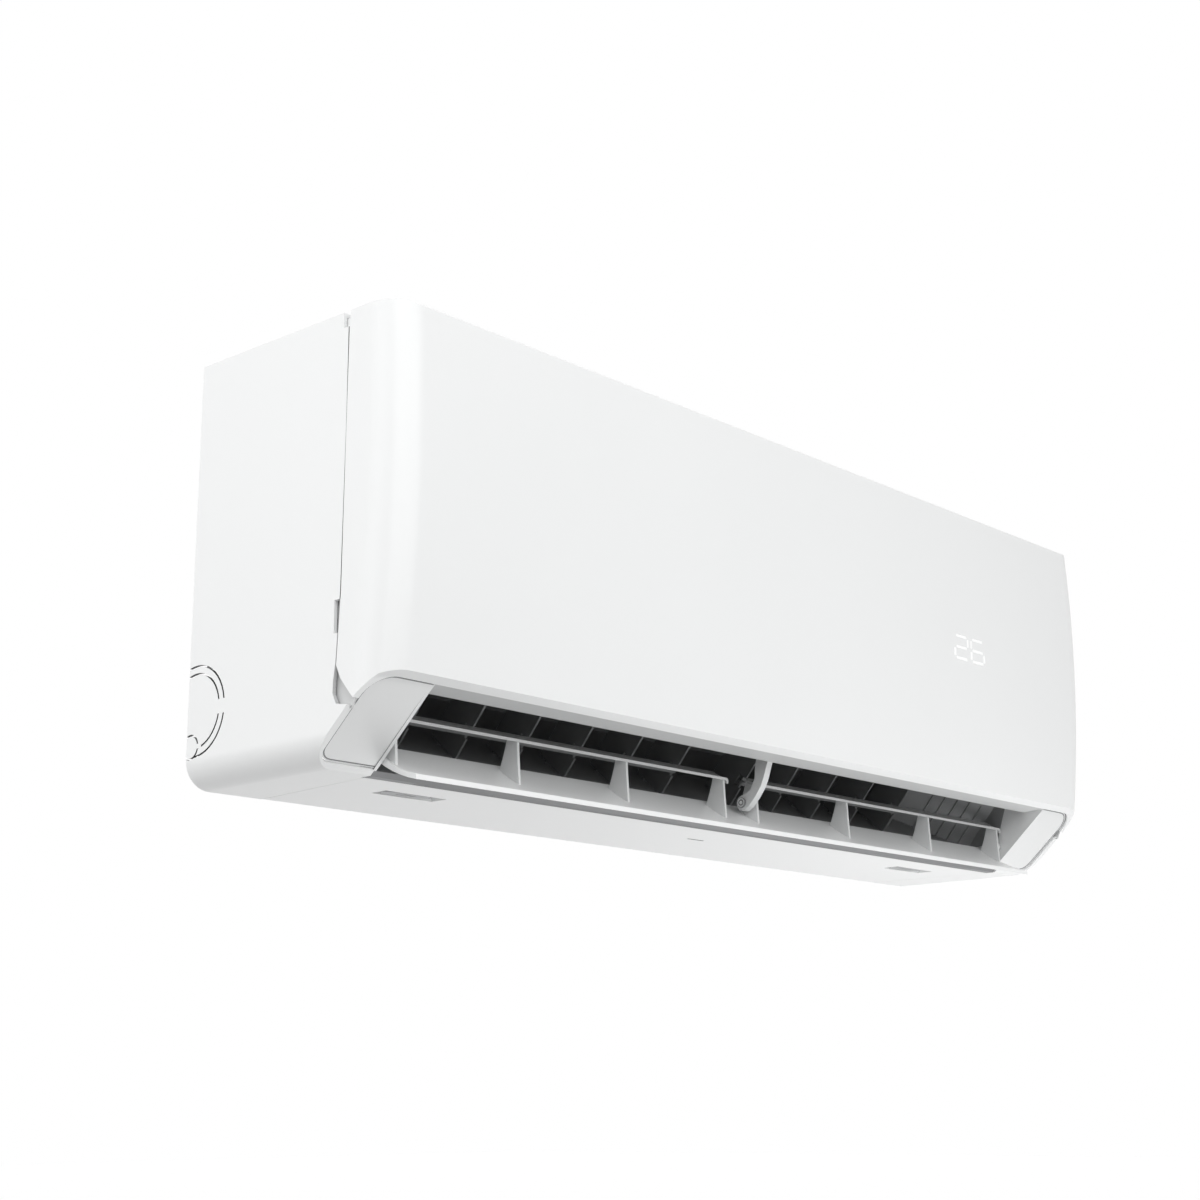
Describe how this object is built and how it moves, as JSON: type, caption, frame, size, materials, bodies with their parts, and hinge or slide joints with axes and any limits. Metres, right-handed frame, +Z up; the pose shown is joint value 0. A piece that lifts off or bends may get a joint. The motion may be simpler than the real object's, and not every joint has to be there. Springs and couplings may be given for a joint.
{
  "type": "mini_split_indoor_unit",
  "caption": "Wall-mounted indoor unit of a mini split air conditioner, white, with its louver open, hinged front panel, filters, coil and cross-flow fan",
  "frame": {"origin": "Centre of the wall plate's screw pattern on the wall plane", "axes": "+X right seen from the room, -Y into the room, +Z up"},
  "size_m": [0.79, 0.1869, 0.2804],
  "materials": {
    "white_plastic": "smooth white moulded plastic",
    "grey_plastic": "light grey moulded plastic",
    "chassis_plastic": "dark moulded plastic",
    "mesh_fabric": "fine woven filter mesh",
    "galvanised_steel": "zinc coated sheet",
    "fan_plastic": "black filled plastic",
    "shaft_steel": "ground steel",
    "bearing_rubber": "black rubber",
    "motor_metal": "pressed steel can",
    "coil_aluminium": "thin stamped fins",
    "copper": "bright drawn tube",
    "nut_brass": "turned nut",
    "circuit_board": "green laminate"
  },
  "bodies": {
    "unit": {"outer_casing": "white_plastic", "bottom_cover": "white_plastic", "top_grille": "white_plastic", "outlet_frame": "grey_plastic", "louver_arm": "grey_plastic", "louver_pin": "grey_plastic", "louver_bush": "grey_plastic", "drip_tray": "grey_plastic", "drain_spigot": "grey_plastic", "electrical_box": "grey_plastic", "electrical_lid": "grey_plastic", "terminal_block": "grey_plastic", "rear_chassis": "chassis_plastic", "pipe_clamp": "chassis_plastic", "wall_plate": "galvanised_steel", "evaporator_plates": "galvanised_steel", "motor_clamp": "galvanised_steel", "fan_bearing": "bearing_rubber", "drain_plug": "bearing_rubber", "fan_motor": "motor_metal", "louver_motor": "motor_metal", "evaporator_front_lower": "coil_aluminium", "evaporator_front_upper": "coil_aluminium", "evaporator_rear": "coil_aluminium", "tube_bends": "copper", "gas_pipe": "copper", "liquid_pipe": "copper", "flare_nuts": "nut_brass", "control_board": "circuit_board"},
    "front_panel": {"front_panel": "white_plastic", "display_digits": "white_plastic", "display_housing": "grey_plastic"},
    "louver": {"louver": "grey_plastic", "louver_fins": "grey_plastic", "louver_blades": "grey_plastic"},
    "fan": {"fan_wheel": "fan_plastic", "fan_stub_shaft": "shaft_steel", "motor_shaft": "shaft_steel"},
    "filter_left": {"filter_frame_left": "chassis_plastic", "filter_mesh_left": "mesh_fabric"},
    "filter_right": {"filter_frame_right": "chassis_plastic", "filter_mesh_right": "mesh_fabric"},
    "latch_left": {"latch_left": "white_plastic"},
    "latch_right": {"latch_right": "white_plastic"},
    "button": {"manual_button": "white_plastic"},
    "vane_left_1": {"vane_left_1": "grey_plastic"},
    "vane_left_2": {"vane_left_2": "grey_plastic"},
    "vane_left_3": {"vane_left_3": "grey_plastic"},
    "vane_left_4": {"vane_left_4": "grey_plastic"},
    "vane_left_5": {"vane_left_5": "grey_plastic"},
    "vane_left_6": {"vane_left_6": "grey_plastic"},
    "vane_right_1": {"vane_right_1": "grey_plastic"},
    "vane_right_2": {"vane_right_2": "grey_plastic"},
    "vane_right_3": {"vane_right_3": "grey_plastic"},
    "vane_right_4": {"vane_right_4": "grey_plastic"},
    "vane_right_5": {"vane_right_5": "grey_plastic"},
    "vane_link_left": {"vane_link_left": "grey_plastic"},
    "vane_link_right": {"vane_link_right": "grey_plastic"}
  },
  "joints": [
    {"name": "panel_hinge", "type": "hinge", "parent": "unit", "child": "front_panel", "pos_m": [0, -0.1435, 0.117], "axis": [-1, 0, 0], "range_deg": [0, 60]},
    {"name": "louver_tilt", "type": "hinge", "parent": "unit", "child": "louver", "pos_m": [0, -0.122, -0.1293], "axis": [1, 0, 0], "range_deg": [-83, 12]},
    {"name": "fan_spin", "type": "hinge", "parent": "unit", "child": "fan", "pos_m": [0, -0.095, -0.032], "axis": [1, 0, 0], "continuous": true},
    {"name": "filter_left_slide", "type": "slide", "parent": "unit", "child": "filter_left", "axis": [0, 0, 1], "range_m": [0, 0.008]},
    {"name": "filter_right_slide", "type": "slide", "parent": "unit", "child": "filter_right", "axis": [0, 0, 1], "range_m": [0, 0.008]},
    {"name": "latch_left_slide", "type": "slide", "parent": "unit", "child": "latch_left", "axis": [1, 0, 0], "range_m": [0, 0.006]},
    {"name": "latch_right_slide", "type": "slide", "parent": "unit", "child": "latch_right", "axis": [1, 0, 0], "range_m": [0, 0.006]},
    {"name": "button_press", "type": "slide", "parent": "unit", "child": "button", "axis": [0, 1, 0], "range_m": [0, 0.0015], "stiffness_N_per_m": 300},
    {"name": "vane_left_1_turn", "type": "hinge", "parent": "unit", "child": "vane_left_1", "pos_m": [-0.305, -0.07526, -0.1132], "axis": [0, -0.6561, 0.7547], "range_deg": [-35, 35]},
    {"name": "vane_left_2_turn", "type": "hinge", "parent": "unit", "child": "vane_left_2", "pos_m": [-0.255, -0.07526, -0.1132], "axis": [0, -0.6561, 0.7547], "range_deg": [-35, 35]},
    {"name": "vane_left_3_turn", "type": "hinge", "parent": "unit", "child": "vane_left_3", "pos_m": [-0.205, -0.07526, -0.1132], "axis": [0, -0.6561, 0.7547], "range_deg": [-35, 35]},
    {"name": "vane_left_4_turn", "type": "hinge", "parent": "unit", "child": "vane_left_4", "pos_m": [-0.155, -0.07526, -0.1132], "axis": [0, -0.6561, 0.7547], "range_deg": [-35, 35]},
    {"name": "vane_left_5_turn", "type": "hinge", "parent": "unit", "child": "vane_left_5", "pos_m": [-0.105, -0.07526, -0.1132], "axis": [0, -0.6561, 0.7547], "range_deg": [-35, 35]},
    {"name": "vane_left_6_turn", "type": "hinge", "parent": "unit", "child": "vane_left_6", "pos_m": [-0.055, -0.07526, -0.1132], "axis": [0, -0.6561, 0.7547], "range_deg": [-35, 35]},
    {"name": "vane_link_left_turn", "type": "hinge", "parent": "vane_left_1", "child": "vane_link_left", "pos_m": [-0.305, -0.103, -0.10948], "axis": [0, -0.6561, 0.7547], "range_deg": [-35, 35]},
    {"name": "vane_right_1_turn", "type": "hinge", "parent": "unit", "child": "vane_right_1", "pos_m": [0.022, -0.07526, -0.1132], "axis": [0, -0.6561, 0.7547], "range_deg": [-35, 35]},
    {"name": "vane_right_2_turn", "type": "hinge", "parent": "unit", "child": "vane_right_2", "pos_m": [0.071, -0.07526, -0.1132], "axis": [0, -0.6561, 0.7547], "range_deg": [-35, 35]},
    {"name": "vane_right_3_turn", "type": "hinge", "parent": "unit", "child": "vane_right_3", "pos_m": [0.12, -0.07526, -0.1132], "axis": [0, -0.6561, 0.7547], "range_deg": [-35, 35]},
    {"name": "vane_right_4_turn", "type": "hinge", "parent": "unit", "child": "vane_right_4", "pos_m": [0.169, -0.07526, -0.1132], "axis": [0, -0.6561, 0.7547], "range_deg": [-35, 35]},
    {"name": "vane_right_5_turn", "type": "hinge", "parent": "unit", "child": "vane_right_5", "pos_m": [0.218, -0.07526, -0.1132], "axis": [0, -0.6561, 0.7547], "range_deg": [-35, 35]},
    {"name": "vane_link_right_turn", "type": "hinge", "parent": "vane_right_1", "child": "vane_link_right", "pos_m": [0.022, -0.103, -0.10948], "axis": [0, -0.6561, 0.7547], "range_deg": [-35, 35]}
  ],
  "couplings": [
    {"joint": "vane_left_2_turn", "follows": "vane_left_1_turn", "ratio": 1},
    {"joint": "vane_left_3_turn", "follows": "vane_left_1_turn", "ratio": 1},
    {"joint": "vane_left_4_turn", "follows": "vane_left_1_turn", "ratio": 1},
    {"joint": "vane_left_5_turn", "follows": "vane_left_1_turn", "ratio": 1},
    {"joint": "vane_left_6_turn", "follows": "vane_left_1_turn", "ratio": 1},
    {"joint": "vane_link_left_turn", "follows": "vane_left_1_turn", "ratio": -1},
    {"joint": "vane_right_2_turn", "follows": "vane_right_1_turn", "ratio": 1},
    {"joint": "vane_right_3_turn", "follows": "vane_right_1_turn", "ratio": 1},
    {"joint": "vane_right_4_turn", "follows": "vane_right_1_turn", "ratio": 1},
    {"joint": "vane_right_5_turn", "follows": "vane_right_1_turn", "ratio": 1},
    {"joint": "vane_link_right_turn", "follows": "vane_right_1_turn", "ratio": -1}
  ]
}
